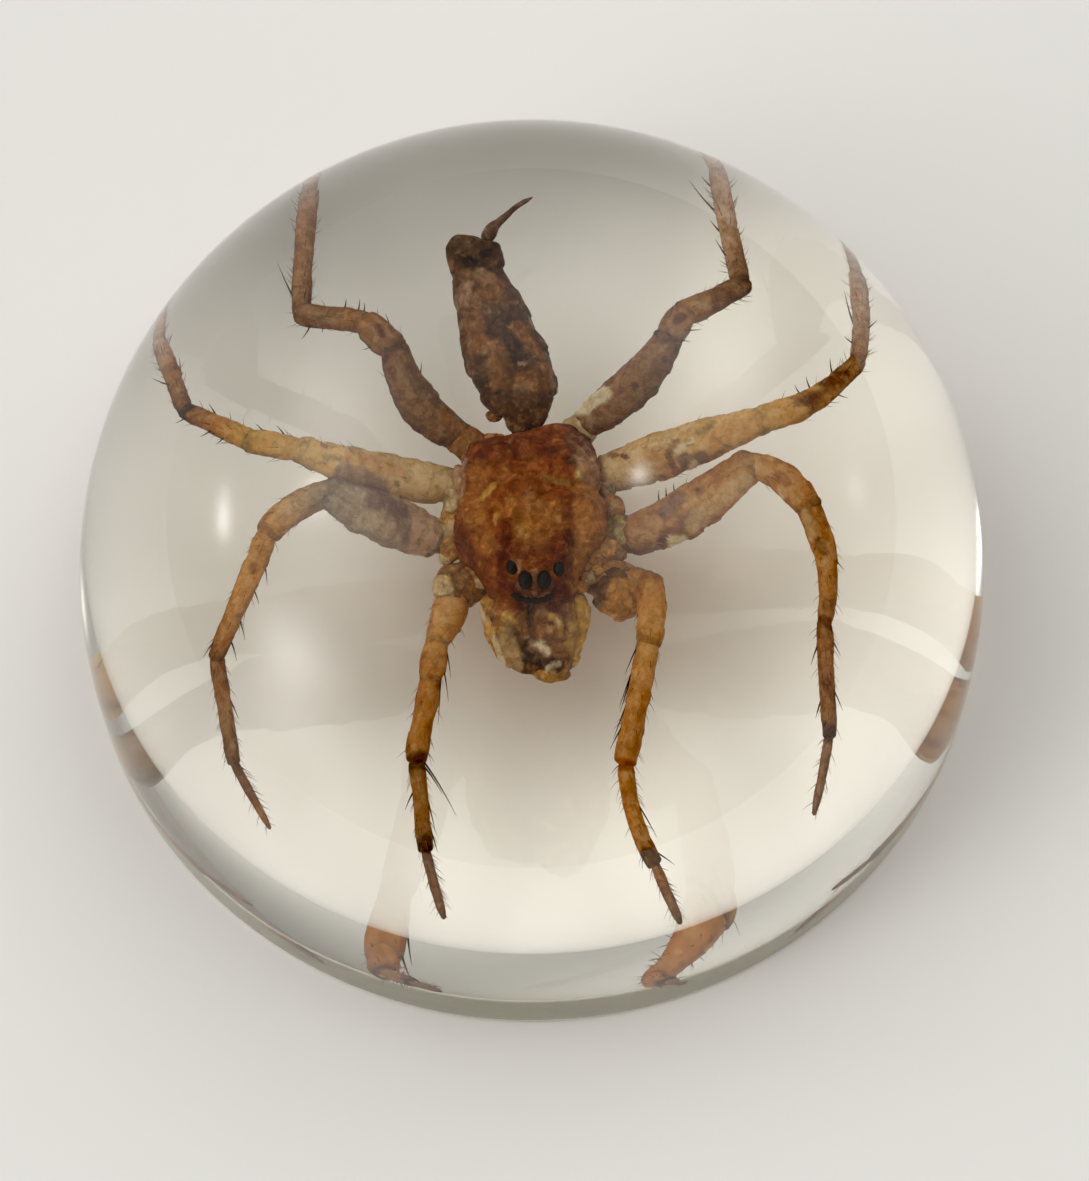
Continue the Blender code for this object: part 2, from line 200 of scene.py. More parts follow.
SPINNERET_THREAD = (
    (-1.7, 10.15, 7.3, 0.32, 0.26), (-1.45, 10.65, 7.32, 0.24, 0.2),
    (-1.1, 11.0, 7.37, 0.14, 0.13), (-0.55, 11.5, 7.45, 0.1, 0.09),
    (0.05, 11.86, 7.5, 0.06, 0.06),
)
LEFT_JAW = (
    (-0.6, -3.3, 7.2, 0.66, 0.62), (-0.72, -4.3, 6.65, 0.74, 0.62),
    (-0.66, -5.05, 5.95, 0.58, 0.46), (-0.5, -5.45, 5.55, 0.38, 0.3),
)
RIGHT_JAW = (
    (0.74, -3.3, 7.2, 0.7, 0.62), (0.84, -4.35, 6.65, 0.84, 0.64),
    (0.88, -5.2, 5.95, 0.64, 0.52), (0.84, -5.78, 5.35, 0.4, 0.34),
)
LEFT_LOBE = (
    (-1.35, -3.2, 6.8, 0.48, 0.3), (-1.3, -4.1, 6.45, 0.52, 0.24),
    (-0.98, -4.9, 5.95, 0.42, 0.2), (-0.68, -5.42, 5.6, 0.32, 0.16),
)
RIGHT_LOBE = (
    (1.5, -3.2, 6.8, 0.52, 0.32), (1.58, -4.1, 6.45, 0.52, 0.28),
    (1.36, -4.95, 5.95, 0.42, 0.24), (1.16, -5.55, 5.55, 0.3, 0.18),
)
MOUTH = (
    (0.1, -3.3, 7.05, 1.35, 0.6), (0.12, -4.3, 6.5, 1.4, 0.5),
    (0.18, -5.1, 5.9, 1.05, 0.4), (0.3, -5.66, 5.5, 0.75, 0.26),
)
LOFT_ROUNDING = 0.45  # how far the body's ends are rounded
GROOVE_ANGLES = (28, 62, 96, 130)  # of the grooves that run from the pit, in degrees from +Y
# The rounded roots of the foremost legs: (x, y, z, radius, tone).
BULBS = ((-2.68, -2.95, 6.45, 0.88, "honey"), (3.15, -3.05, 6.42, 1.0, "amber"))
# The two large pairs of eyes: (x, y, z, radius).
EYES = (
    (-0.69, -2.88, 8.56, 0.27), (1.03, -2.98, 8.52, 0.23),
    (-0.22, -3.36, 8.5, 0.29), (0.48, -3.39, 8.5, 0.29),
)
# The row of small eyes in front: (x, y, z).
FRONT_EYES = (
    (-0.6, -3.84, 8.12), (-0.38, -3.95, 8.08), (-0.12, -4.01, 8.06),
    (0.16, -4.02, 8.06), (0.44, -3.98, 8.08), (0.66, -3.87, 8.12),
)
# Lumps on the leg roots and jaws: (x, y, z, half width, half length, half height, tone).
KNOBS = (
    (-3.12, -3.16, 6.85, 0.52, 0.6, 0.42, "straw"),
    (0.72, -4.62, 6.95, 0.58, 0.56, 0.5, "bronze"),
    (0.7, -5.7, 5.55, 0.66, 0.27, 0.28, "honey"),
    (3.2, -1.9, 6.95, 0.28, 0.28, 0.22, "umber"),
    (-0.85, -4.25, 6.95, 0.4, 0.36, 0.24, "amber"),
    (1.8, -3.2, 7.2, 0.32, 0.24, 0.2, "honey"),
    (2.1, -2.9, 7.2, 0.32, 0.24, 0.2, "straw"),
    (2.42, -2.6, 7.1, 0.32, 0.24, 0.18, "honey"),
    (-1.8, -2.9, 7.05, 0.28, 0.34, 0.2, "straw"),
    (-2.2, -2.25, 6.95, 0.34, 0.36, 0.2, "amber"),
    (-3.1, -2.0, 6.8, 0.3, 0.26, 0.2, "straw"),
    (-1.5, 3.43, 7.0, 0.3, 0.24, 0.2, "bronze"),
    (-2.72, 0.9, 6.9, 0.38, 0.62, 0.34, "pink"),
    (-2.9, 0.05, 6.85, 0.44, 0.62, 0.34, "straw"),
    (-3.0, -0.8, 6.8, 0.5, 0.62, 0.36, "honey"),
    (-2.9, -1.55, 6.8, 0.55, 0.6, 0.36, "amber"),
    (2.85, 0.75, 6.9, 0.36, 0.6, 0.32, "sand"),
    (3.05, -0.25, 6.85, 0.44, 0.6, 0.32, "bronze"),
    (3.25, -1.05, 6.9, 0.62, 0.6, 0.4, "olive"),
    (2.85, -1.65, 6.85, 0.55, 0.56, 0.36, "amber"),
    (2.35, -2.2, 6.95, 0.5, 0.5, 0.32, "bronze"),
    (0.75, 2.72, 6.85, 0.6, 0.26, 0.24, "honey"),
    (1.6, 2.55, 6.75, 0.46, 0.34, 0.28, "amber"),
    (-1.45, 2.45, 6.8, 0.56, 0.32, 0.28, "amber"),
    (-2.25, 1.75, 6.75, 0.42, 0.42, 0.3, "bronze"),
)

# ---- markings
# A mark runs straight from one place in plan to another: (tone, radius, strength, x, y, x, y).
# Every near-white mark among these is a painted highlight, where light glances off a thin film of air
# under the shell.
LEG_MARKS = (
    ("plum", 0.42, 0.85, -6.9, 0.85, -5.6, 0.35), ("plum", 0.34, 0.85, -5.9, -0.17, -4.9, -0.5),
    ("plum", 0.3, 0.9, -4.9, -0.5, -4.55, -1.4), ("pink", 0.35, 0.6, -4.2, -1.6, -4.1, -0.9),
    ("straw", 0.45, 0.6, -5.0, 0.6, -3.8, 0.1), ("amber", 0.35, 0.6, -6.5, 1.5, -5.1, 1.05),
    ("olive", 0.12, 0.6, -7.6, 1.5, -6.9, 1.35), ("umber", 0.1, 0.9, -5.02, 0.55, -4.95, 0.5),
    ("umber", 0.1, 0.8, -6.72, 1.95, -6.6, 1.85), ("umber", 0.1, 0.8, -7.7, 1.95, -7.6, 1.88),
    ("pink", 0.16, 0.8, -2.8, 0.9, -2.78, 0.3), ("plum", 0.3, 0.9, 4.95, -0.55, 5.45, 0.0),
    ("plum", 0.26, 0.75, 5.6, -0.9, 6.1, -0.72), ("wine", 0.13, 0.95, 4.72, -1.5, 4.95, -1.24),
    ("umber", 0.11, 0.95, 4.95, -1.2, 5.6, -1.18), ("umber", 0.09, 0.9, 5.0, -1.8, 5.6, -1.74),
    # the near-white line inside the gold ring of the right second leg is a painted highlight
    ("gold", 0.12, 0.85, 5.05, -1.58, 5.58, -1.55), ("painted_glint", 0.08, 0.95, 5.05, -1.44, 5.6, -1.38),
    ("bronze", 0.36, 0.7, 6.0, 0.35, 7.7, 1.35), ("straw", 0.26, 0.75, 5.9, -0.95, 7.9, 0.6),
    ("wine", 0.08, 0.8, 6.1, 0.24, 6.16, 0.25), ("rust", 0.2, 0.75, 9.1, 0.8, 9.35, 0.62),
    ("straw", 0.16, 0.8, 9.12, 0.35, 9.2, 0.2), ("straw", 0.16, 0.8, 9.95, -0.45, 10.1, -1.2),
    ("umber", 0.18, 0.85, 10.35, -1.35, 10.5, -1.6), ("umber", 0.22, 0.85, 10.4, -3.2, 10.8, -3.2),
    ("wine", 0.17, 0.85, 10.2, -3.6, 10.6, -3.85), ("wine", 0.2, 0.75, 10.2, -5.5, 10.45, -5.8),
    # the broad near-white mark at the root of the right fourth leg is a painted highlight
    ("painted_glint", 0.36, 0.9, 2.0, 3.75, 2.7, 4.15), ("ink", 0.13, 0.8, 4.65, 6.39, 4.7, 6.45),
    ("ink", 0.12, 0.8, 5.45, 5.75, 5.55, 5.7), ("ink", 0.12, 0.8, 4.99, 5.37, 5.02, 5.3),
    ("ink", 0.14, 0.7, 3.91, 4.38, 3.96, 4.3), ("wine", 0.2, 0.9, 5.42, 6.9, 5.58, 7.05),
    ("plum", 0.3, 0.6, -3.9, 4.6, -3.6, 4.0), ("bronze", 0.26, 0.65, -3.35, 3.3, -2.9, 2.9),
    ("bronze", 0.22, 0.55, -4.3, 5.5, -3.9, 5.0), ("ink", 0.26, 0.45, -4.6, 4.9, -4.3, 4.3),
    ("wine", 0.14, 0.8, -5.72, 6.57, -5.55, 6.29), ("wine", 0.14, 0.8, -5.5, 5.3, -5.42, 5.42),
    ("wine", 0.12, 0.7, -5.22, 4.95, -5.18, 4.6), ("straw", 0.42, 0.75, 3.1, 1.1, 4.2, 1.35),
    ("umber", 0.13, 0.9, 3.0, 1.78, 3.25, 1.72), ("wine", 0.11, 0.95, 3.46, 1.66, 3.58, 1.6),
    ("umber", 0.13, 0.9, 2.7, 0.4, 2.78, 0.34), ("amber", 0.4, 0.6, 4.5, 1.75, 5.1, 1.3),
    # the near-white marks here and on the right third leg two lines on are painted highlights
    ("painted_glint", 0.09, 0.6, 4.45, 1.98, 4.72, 2.02), ("plum", 0.28, 0.85, 5.65, 1.45, 6.35, 1.5),
    ("umber", 0.13, 0.95, 5.45, 2.12, 5.15, 1.7), ("umber", 0.13, 0.95, 5.12, 1.6, 5.38, 1.1),
    ("umber", 0.14, 0.85, 5.38, 1.1, 6.6, 1.15), ("painted_glint", 0.1, 0.95, 5.45, 1.75, 5.7, 1.95),
    ("painted_glint", 0.08, 0.9, 5.85, 2.05, 6.0, 2.15), ("painted_glint", 0.07, 0.8, 5.8, 1.24, 6.1, 1.42),
    ("honey", 0.4, 0.6, 6.8, 2.3, 8.2, 2.75), ("olive", 0.09, 0.75, 6.2, 2.45, 6.8, 2.85),
    ("olive", 0.08, 0.75, 6.7, 1.6, 7.3, 2.05), ("umber", 0.2, 0.85, 9.8, 3.75, 10.1, 3.95),
    ("umber", 0.22, 0.85, 10.3, 4.2, 10.5, 4.45), ("umber", 0.3, 0.75, 10.7, 4.7, 11.1, 5.2),
    ("wine", 0.22, 0.55, 10.0, 3.8, 10.4, 4.1), ("wine", 0.22, 0.5, 10.7, 4.8, 11.15, 5.3),
    ("gold", 0.14, 0.8, 9.3, 3.4, 9.45, 3.5), ("gold", 0.11, 0.8, 10.1, 4.4, 10.3, 4.5),
    ("ink", 0.15, 0.9, -12.2, 4.1, -11.8, 4.45), ("umber", 0.16, 0.8, -9.8, -0.92, -9.72, -1.0),
    ("umber", 0.14, 0.8, -9.96, -2.22, -9.98, -2.32), ("ink", 0.22, 0.8, -4.3, -8.8, -3.6, -8.75),
    ("ink", 0.2, 0.8, -3.8, -10.85, -3.4, -10.85), ("rust", 0.16, 0.9, 3.1, -8.9, 3.8, -8.95),
    ("ink", 0.22, 0.85, 3.9, -11.25, 4.5, -11.3), ("ink", 0.22, 0.85, 9.8, -6.8, 10.4, -6.8),
    ("umber", 0.2, 0.8, -10.3, -7.55, -9.9, -7.6), ("ink", 0.2, 0.6, 7.4, 8.95, 7.8, 8.9),
)
BULB_MARKS = (
    ("ink", 0.34, 0.75, 2.35, -3.5, 2.75, -2.65), ("ink", 0.26, 0.75, 2.75, -2.65, 4.3, -2.6),
    ("honey", 0.36, 0.7, 3.2, -3.3, 3.3, -3.6), ("umber", 0.72, 0.8, -2.95, -3.05, -2.5, -2.75),
    ("ink", 0.5, 0.7, -3.16, -3.12, -3.2, -3.1), ("gold", 0.36, 0.7, -3.2, -3.14, -3.23, -3.08),
    ("straw", 0.3, 0.75, -3.22, -3.18, -3.24, -3.1),
)
BODY_MARKS = (
    # the back of the head and chest: broad drifts first, then small things
    ("wine", 0.75, 0.5, -2.0, 1.7, -1.2, 1.75), ("wine", 0.55, 0.5, -0.6, 1.75, 0.6, 1.7),
    ("plum", 0.5, 0.55, 1.75, 2.1, 2.3, 0.6), ("pink", 0.45, 0.65, 2.1, 1.5, 2.45, 0.1),
    ("amber", 0.6, 0.75, 2.2, -0.1, 2.3, -1.5), ("amber", 0.5, 0.5, -2.05, 0.9, -2.2, -0.9),
    ("amber", 0.42, 0.75, 1.8, -2.0, 1.6, -3.1), ("plum", 0.35, 0.4, -0.1, -0.3, 0.25, -0.75),
    ("amber", 0.65, 0.55, -0.45, -0.9, 0.85, -0.95), ("amber", 0.55, 0.45, 1.95, -0.8, 2.1, -1.6),
    ("amber", 0.4, 0.45, -2.0, -1.2, -1.6, -2.1), ("bronze", 0.45, 0.6, -0.25, -1.6, 0.3, -2.1),
    ("wine", 0.24, 0.75, -0.91, -1.3, -0.98, -2.1), ("wine", 0.26, 0.85, -0.98, -2.1, -1.08, -3.2),
    ("wine", 0.22, 0.7, 1.37, -0.4, 1.43, -1.9), ("wine", 0.24, 0.8, 1.4, -1.9, 1.34, -3.1),
    ("wine", 0.42, 0.6, -0.55, -2.45, 0.95, -2.55), ("wine", 0.3, 0.8, -0.95, -3.6, -0.55, -3.95),
    ("wine", 0.3, 0.8, 1.1, -3.6, 0.75, -3.95), ("pink", 0.24, 0.7, -2.7, 1.35, -2.78, 0.15),
    ("gold", 0.13, 0.7, -1.46, 0.24, -1.87, -0.22), ("gold", 0.11, 0.55, -1.29, -0.93, -1.36, -1.31),
    ("honey", 0.12, 0.6, 0.84, -0.55, 1.0, -1.16), ("honey", 0.12, 0.5, 0.75, -1.7, 0.7, -1.85),
    ("honey", 0.18, 0.6, -0.3, -1.45, -0.15, -1.75), ("rust", 0.18, 0.6, 1.15, -0.15, 1.25, -0.35),
    # the first two marks here are a painted glint: a near-white core with a gold rim
    ("painted_glint", 0.07, 0.85, 1.85, 0.62, 1.9, 0.85), ("gold", 0.16, 0.6, 1.8, 0.6, 1.92, 0.9),
    ("ink", 0.17, 0.6, 0.7, 1.6, 0.86, 1.62), ("ink", 0.17, 0.55, 1.38, 1.26, 1.58, 1.2),
    ("olive", 0.12, 0.65, 0.54, 0.47, 1.46, 0.32), ("pink", 0.09, 0.75, 0.13, -3.1, 0.13, -3.65),
    ("pink", 0.08, 0.6, -0.52, -3.5, -0.1, -3.76), ("pink", 0.08, 0.6, 0.4, -3.78, 0.78, -3.5),
    ("pink", 0.09, 0.5, -0.5, -3.1, -0.44, -2.8),
    # the jaws and the plates beside them
    ("wine", 0.5, 0.7, -0.5, -3.7, 0.75, -3.75), ("rust", 0.3, 0.8, -1.05, -3.84, -0.8, -4.0),
    # the second mark here, a thin ink line, is painted shade in the gap between the jaws
    ("gold", 0.17, 0.75, -0.9, -4.33, -0.8, -4.45), ("ink", 0.1, 0.9, -0.04, -3.99, 0.0, -4.91),
    ("ink", 0.16, 0.6, -0.85, -4.6, -0.1, -5.2), ("umber", 0.14, 0.6, -0.45, -4.25, -0.1, -4.75),
    ("umber", 0.13, 0.75, 0.35, -4.25, 0.5, -5.05), ("umber", 0.12, 0.75, 0.5, -5.05, 1.05, -5.1),
    ("wine", 0.16, 0.7, 1.15, -4.05, 1.22, -4.55), ("ink", 0.17, 0.9, -0.25, -5.36, 0.98, -5.62),
    # The pale band here is a painted highlight. The arc of gold and near-white marks round the right
    # jaw's bulge on the next two lines is one too, and so is the near-white mark on the golden blob below
    # it.
    ("pink", 0.12, 0.7, 0.07, -5.01, 0.6, -5.3), ("painted_glint", 0.07, 0.75, 0.2, -5.05, 0.62, -5.3),
    ("gold", 0.13, 0.7, 0.72, -4.35, 1.02, -4.5), ("painted_glint", 0.06, 0.8, 0.92, -4.4, 1.08, -4.62),
    ("gold", 0.1, 0.7, 1.08, -4.62, 1.05, -4.9), ("painted_glint", 0.07, 0.65, 0.55, -5.7, 1.0, -5.62),
    ("gold", 0.3, 0.55, 1.72, -4.0, 1.5, -5.1), ("gold", 0.12, 0.5, 1.95, -4.1, 1.72, -4.7),
    # The near-white mark that ends this line and the gold and near-white marks on the next line are a
    # painted highlight along the left plate's edge.
    ("straw", 0.3, 0.6, -0.95, -4.9, -0.6, -5.5), ("painted_glint", 0.08, 0.8, -1.91, -3.74, -1.6, -4.3),
    ("gold", 0.1, 0.8, -1.6, -4.3, -1.36, -4.79), ("painted_glint", 0.07, 0.7, -1.36, -4.79, -0.95, -5.6),
    # abdomen
    ("ink", 0.6, 0.65, -2.65, 9.85, -1.75, 9.85), ("black", 0.24, 0.75, -2.3, 9.3, -1.95, 9.1),
    ("black", 0.13, 0.8, -1.85, 9.6, -1.55, 9.7), ("pink", 0.28, 0.55, -2.62, 7.8, -2.45, 8.35),
    ("pink", 0.24, 0.5, -1.9, 8.85, -1.55, 8.7), ("bronze", 0.35, 0.4, -1.55, 8.3, -1.3, 7.6),
    ("bronze", 0.32, 0.5, -2.25, 6.7, -1.95, 6.1), ("ink", 0.6, 0.7, -1.4, 7.3, -0.95, 6.4),
    ("bronze", 0.26, 0.55, -0.55, 6.8, 0.25, 5.7), ("bronze", 0.24, 0.5, 0.55, 5.3, 0.82, 4.6),
    ("umber", 0.36, 0.8, -1.3, 5.85, -1.28, 4.3), ("bark", 0.1, 0.8, -1.32, 5.6, -1.3, 5.55),
    ("umber", 0.45, 0.45, -2.35, 7.4, -2.15, 6.2), ("ink", 0.4, 0.65, -0.65, 5.7, -0.1, 5.45),
    ("ink", 0.32, 0.5, -2.0, 5.4, -1.9, 4.7), ("bronze", 0.45, 0.4, -0.2, 4.6, 0.3, 4.3),
    ("bark", 0.6, 0.6, -0.95, 3.6, 0.35, 3.5), ("ink", 0.3, 0.5, -1.15, 3.95, 0.5, 3.85),
    ("pink", 0.07, 0.6, -0.5, 5.3, -0.28, 5.28),
)

# Long spines: (segment, way along it, length, lean from the leg in degrees). Those that lean
# to the right as seen from the hip have a lean below 0.
SPINES = {
    "left_1": ((2, 0.1, 0.9, 25), (2, 0.66, 1.0, 24), (2, 0.95, 1.3, 9), (4, 0.03, 1.75, 33),
               (4, 0.1, 0.9, 36), (4, 0.45, 0.9, 10), (4, 0.36, 0.5, -44), (4, 0.8, 0.6, 15)),
    "left_2": ((3, 0.25, 0.6, 40), (3, 0.45, 0.5, 55), (3, 0.7, 0.6, 50), (3, 0.86, 0.6, 51),
               (3, 0.88, 0.6, -20), (4, 0.42, 0.6, 20)),
    "left_3": ((2, 0.4, 0.4, -48), (2, 0.8, 0.35, -44), (3, 0.3, 0.45, 110), (3, 0.51, 0.45, 92),
               (3, 0.91, 0.4, 86), (3, 0.61, 0.5, -30), (4, 0.37, 0.7, 67), (4, 0.46, 0.75, -15)),
    "left_4": ((1, 0.69, 0.5, -37), (2, 0.5, 0.45, -34), (2, 0.4, 0.45, 90), (3, 0.06, 0.4, -97),
               (3, 0.16, 0.5, -103), (3, 0.38, 0.45, -105), (3, 0.62, 0.4, 130), (3, 0.8, 0.7, 104),
               (4, 0.12, 1.3, 25)),
    "right_1": ((3, 0.05, 0.9, -17), (3, 0.28, 1.05, -12), (3, 0.34, 0.95, -10), (3, 0.56, 0.95, -14),
                (3, 0.74, 0.7, -23), (4, 0.43, 0.95, 22), (4, 0.93, 0.6, 32)),
    "right_2": ((1, 0.29, 0.4, 74), (1, 0.36, 0.35, 76), (1, 0.43, 0.35, 76), (3, 0.46, 0.4, 48),
                (4, 0.13, 0.5, 41), (4, 0.19, 0.6, -28), (4, 0.59, 0.6, 34), (4, 0.69, 0.5, -25)),
    "right_3": ((3, 0.04, 0.4, 95), (3, 0.21, 0.45, 75), (3, 0.4, 0.4, -90), (3, 0.61, 0.6, 52),
                (4, 0.2, 0.35, 54), (4, 0.43, 1.3, 14), (4, 0.36, 0.5, -58)),
    "right_4": ((2, 0.1, 0.4, -97), (2, 0.48, 0.5, -81), (4, 0.29, 0.7, 16), (4, 0.51, 0.5, 27),
                (4, 0.68, 1.3, 29), (4, 0.88, 0.45, 35)),
}
HAIRS_PER_MM = {"coxa": 2, "femur": 4, "patella": 6, "tibia": 11, "metatarsus": 15, "tarsus": 18}
HAIR_RADIUS = 0.014
HAIR_LENGTH = (0.18, 0.44)  # from the shortest to the longest
HAIR_LEAN = (25, 60)  # from the leg in degrees, from the least to the most
SPINE_RADIUS = 0.034


# ---- small tools
def unit(v):
    return v / np.linalg.norm(v, axis=-1, keepdims=True)


def ramp(low, high, value):
    """A smooth step from 0 at low to 1 at high."""
    t = np.clip((value - low) / (high - low), 0, 1)
    return t * t * (3 - 2 * t)


def linear(screen):
    """A screen colour as the amount of light it stands for."""
    c = np.array(screen, float)
    return np.where(c < 0.04045, c / 12.92, ((c + 0.055) / 1.055) ** 2.4)


def tone(name):
    return linear(TONES[name])


def lattice(cells, seed):
    """A repeatable random value in 0..1 for each whole-numbered cell."""
    x, y, z = (cells[..., k].astype(np.int64) for k in range(3))
    mixed = (x * 73856093) ^ (y * 19349663) ^ (z * 83492791) ^ (seed * 2654435761)
    mixed = (mixed ^ (mixed >> 13)) * 1274126177 & 0x7FFFFFFF
    return ((mixed ^ (mixed >> 16)) & 0xFFFF) / 65535.0


def random_triple(cells, seed):
    """Three random values in 0..1 for each cell."""
    return np.stack([lattice(cells, seed + k) for k in range(3)], -1)


def value_noise(points, size, seed):
    """Smooth noise in -1..1 with lumps of about the given size."""
    p = points / size
    low = np.floor(p)
    f = p - low
    f = f * f * (3 - 2 * f)
    total = 0.0
    for corner in range(8):
        bits = np.array([corner & 1, corner >> 1 & 1, corner >> 2 & 1])
        weight = np.prod(np.where(bits, f, 1 - f), axis=-1)
        total = total + weight * lattice(low + bits, seed)
    return total * 2 - 1


def rough_noise(points, size, octaves, seed):
    total, gain = 0.0, 0.0
    for k in range(octaves):
        share = 0.55 ** k
        total = total + share * value_noise(points, size / 2 ** k, seed + k)
        gain += share
    return total / gain


def plates(points, size, seed):
    """Irregular cells in space: each cell's random value, its tilted height and the way to its border."""
    p = points / size
    low = np.floor(p)
    nearest = np.full(p.shape[:-1], 9.0)
    second = np.full(p.shape[:-1], 9.0)
    value = np.zeros(p.shape[:-1])
    height = np.zeros(p.shape[:-1])
    for k in range(27):
        cell = low + np.array([k % 3 - 1, k // 3 % 3 - 1, k // 9 - 1])
        away = p - (cell + random_triple(cell, seed + 1))
        distance = np.linalg.norm(away, axis=-1)
        own = lattice(cell, seed + 7)
        lean = random_triple(cell, seed + 11) * 2 - 1
        closer = distance < nearest
        second = np.where(closer, nearest, np.minimum(second, distance))
        nearest = np.where(closer, distance, nearest)
        value = np.where(closer, own, value)
        height = np.where(closer, own * 2 - 1 + (away * lean).sum(-1), height)
    return value, height, second - nearest


def ring_frames(path):
    """Directions along, across and up at each point of a path that never runs straight up."""
    along = unit(np.gradient(path, axis=0))
    across = unit(np.cross(along, UP))
    return along, across, unit(np.cross(across, along))


def add_object(name, data):
    item = bpy.data.objects.new(name, data)
    bpy.context.scene.collection.objects.link(item)
    return item


class Shell:
    """Closed bodies gathered into one mesh, with a colour set at every point."""

    def __init__(self):
        self.points, self.faces, self.colours, self.count = [], [], [], 0

    def add(self, points, faces, colours):
        self.points.append(points)
        self.faces += [tuple(k + self.count for k in face) for face in faces]
        self.colours.append(np.broadcast_to(colours, (len(points), 3)))
        self.count += len(points)

    def piece(self, name, material):
        mesh = bpy.data.meshes.new(name)
        mesh.from_pydata((np.concatenate(self.points) * MM).tolist(), [], self.faces)
        layer = mesh.color_attributes.new("tone", "FLOAT_COLOR", "POINT")
        colours = np.concatenate(self.colours)
        opaque = np.column_stack([colours, np.ones(len(colours))])
        layer.data.foreach_set("color", opaque.astype(np.float32).ravel())
        mesh.shade_smooth()
        mesh.materials.append(material)
        item = add_object(name, mesh)
        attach(item, "root")
        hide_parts("spider")


def tube_faces(rings, sides):
    faces = []
    for r in range(rings - 1):
        low, high = r * sides, (r + 1) * sides
        for k in range(sides):
            n = (k + 1) % sides
            faces.append((low + k, low + n, high + n, high + k))
    faces.append(tuple(reversed(range(sides))))
    faces.append(tuple(range((rings - 1) * sides, rings * sides)))
    return faces


def tube_points(path, half_width, half_height, sides, squareness=2.0):
    """Points of a tube along a path, with an elliptical or squarish section."""
    _, across, upward = ring_frames(path)
    turn = -np.arange(sides) * math.tau / sides
    c, s = np.cos(turn), np.sin(turn)
    power = 2 / squareness
    c, s = np.sign(c) * np.abs(c) ** power, np.sign(s) * np.abs(s) ** power
    offset = across[:, None] * (half_width[:, None] * c)[..., None]
    offset = offset + upward[:, None] * (half_height[:, None] * s)[..., None]
    return path[:, None] + offset, turn


def with_marks(points, colours, marks, seed):
    """Lays soft-edged, ragged and broken marks over the colours of points."""
    coarse = rough_noise(points, 0.45, 3, seed)
    fine = rough_noise(points, 0.16, 2, seed + 5)
    for name, radius, strength, *ends in marks:
        start, end = np.array(ends).reshape(2, 2)
        line = end - start
        way = np.clip(((points[:, :2] - start) @ line) / (line @ line), 0, 1)
        away = np.linalg.norm(points[:, :2] - start - way[:, None] * line, axis=1)
        away = away / radius + 0.35 * coarse + 0.2 * fine
        share = strength * (1 - ramp(0.7, 1.25, away)) * (0.9 + 0.2 * coarse)
        colours = colours + (tone(name) - colours) * np.clip(share, 0, 1)[:, None]
    return colours


def worn(colours, thickness):
    """Colours that pale where the shell is thinner than 1 and darken evenly where it is thicker."""
    thin = np.clip(thickness, THINNEST, 1.0)[:, None]
    thick = np.clip(thickness - 1, 0.0, 1.2)[:, None]
    return colours ** thin * np.exp(-STAIN_RATE * thick)


def mottled(points, colours, size, depth, seed):
    """Lets colours run from thin and pale to thick and dark, by irregular plates and grain."""
    value, _, border = plates(points, size, seed)
    grain = rough_noise(points, size * 0.6, 3, seed + 20)
    crease = 1 - ramp(0.0, 0.14, border)
    thickness = 1 + depth * (value * 2 - 1) + depth * grain + 0.8 * depth * crease
    return worn(colours, thickness)


# ---- the legs
def eased(way, table):
    """Values of a table between its entries, with its corners rounded off."""
    at, value = np.array(table).T
    return sum(np.interp(way + step, at, value) for step in (-0.04, -0.02, 0.0, 0.02, 0.04)) / 5


def segment_length(name, k):
    return math.dist(LEGS[name][k], LEGS[name][k + 1])


def leg_line(name, k, way):
    """Centre line of segment k of a leg at the given ways along it."""
    start, end = np.array(LEGS[name][k]), np.array(LEGS[name][k + 1])
    bend = (0.0, *LEG_BEND[name], 0.0)[k]
    straight = end - start
    left = unit(np.array([-straight[1], straight[0], 0.0]))
    way = np.asarray(way)[..., None]
    return start + straight * way + left * (bend * 4 * way * (1 - way))


def leg_radius(name, k, way):
    """Radius of segment k at the given ways along it; only a tibia's two ends differ in girth."""
    first = LEG_GIRTH[name][(0, 1, 2, 3, 5, 6)[k]]
    last = LEG_GIRTH[name][(0, 1, 2, 4, 5, 6)[k]]
    return (first + (last - first) * np.clip(way, 0, 1)) * eased(way, SEGMENT_SWELL[SEGMENTS[k]])


def leg_colours(name, k, way):
    """Colours at the given ways along segment k, blended between its tones."""
    first, last = ((0, 0), (1, 2), (2, 3), (3, 5), (5, 7), (7, 8))[k]
    stops = np.array([tone(t) for t in LEG_TONES[name].split()[first:last + 1]])
    at = np.linspace(0, 1, len(stops))
    return np.stack([np.interp(way, at, part) for part in stops.T], -1)


def leg_grain(along, turn, radius, seed):
    """Streaky noise that runs down a leg, for each point of its rings."""
    along, turn = np.broadcast_arrays(along, turn)
    place = np.stack([along / 0.75, np.cos(turn) * radius / 0.24, np.sin(turn) * radius / 0.24], -1)
    return rough_noise(place + seed, 1.0, 3, seed)


def segment_rings(name, k, length, girth):
    """Ways along a leg segment, and its centre line and its radius there, with rounded ends."""
    overlap = SEGMENT_OVERLAP * girth / length
    way = np.linspace(-overlap, 1 + overlap, max(int(length / RING_STEP), 10))
    from_end = np.minimum(way - way[0], way[-1] - way) * length / (END_ROUNDING * girth)
    radius = leg_radius(name, k, way) * np.sqrt(1 - (1 - np.clip(from_end, 0.03, 1)) ** 2)
    return way, leg_line(name, k, way), radius


